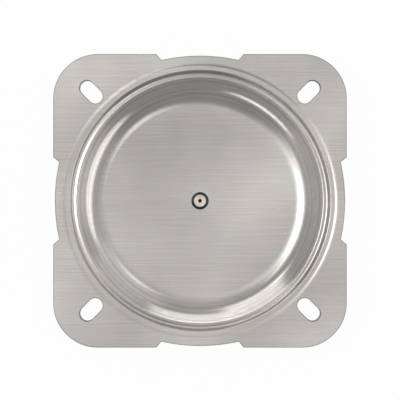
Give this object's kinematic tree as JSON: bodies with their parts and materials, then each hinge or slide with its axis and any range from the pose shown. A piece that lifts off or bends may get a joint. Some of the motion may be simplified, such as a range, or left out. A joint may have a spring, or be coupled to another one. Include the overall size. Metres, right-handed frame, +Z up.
{
  "type": "seat swivel",
  "caption": "Square stool seat swivel: two dished stamped plates with slotted ears turn on a ring of caged balls about a spun centre pin.",
  "frame": {"origin": "centre of the lower mounting face, on the swivel axis", "axes": "+Z up along the swivel axis towards the seat; X and Y along the plates' straight sides"},
  "size_m": [0.178, 0.178, 0.0342],
  "materials": {
    "plate_steel": "brushed stainless sheet, burnished in the drawn dish",
    "ball_steel": "polished bearing steel",
    "cage_nylon": "moulded natural nylon",
    "pin_steel": "turned and spun, pale yellow passivated",
    "bush_bronze": "sintered bronze",
    "washer_steel": "hardened, ground"
  },
  "bodies": {
    "base": {"bottom_plate": "plate_steel", "pivot_bush": "bush_bronze", "thrust_washer": "washer_steel"},
    "cage": {"ball_cage": "cage_nylon", "ball_01": "ball_steel", "ball_02": "ball_steel", "ball_03": "ball_steel", "ball_04": "ball_steel", "ball_05": "ball_steel", "ball_06": "ball_steel", "ball_07": "ball_steel", "ball_08": "ball_steel", "ball_09": "ball_steel", "ball_10": "ball_steel", "ball_11": "ball_steel", "ball_12": "ball_steel", "ball_13": "ball_steel", "ball_14": "ball_steel", "ball_15": "ball_steel", "ball_16": "ball_steel", "ball_17": "ball_steel", "ball_18": "ball_steel", "ball_19": "ball_steel", "ball_20": "ball_steel", "ball_21": "ball_steel", "ball_22": "ball_steel", "ball_23": "ball_steel", "ball_24": "ball_steel", "ball_25": "ball_steel", "ball_26": "ball_steel", "ball_27": "ball_steel", "ball_28": "ball_steel", "ball_29": "ball_steel", "ball_30": "ball_steel"},
    "seat": {"top_plate": "plate_steel", "centre_pin": "pin_steel"}
  },
  "joints": [
    {"name": "seat_swivel", "type": "hinge", "parent": "base", "child": "seat", "pos_m": [0, 0, 0.01707], "axis": [0, 0, 1], "continuous": true},
    {"name": "cage_orbit", "type": "hinge", "parent": "base", "child": "cage", "pos_m": [0, 0, 0.01707], "axis": [0, 0, 1], "continuous": true}
  ],
  "couplings": [
    {"joint": "cage_orbit", "follows": "seat_swivel", "ratio": 0.5}
  ]
}
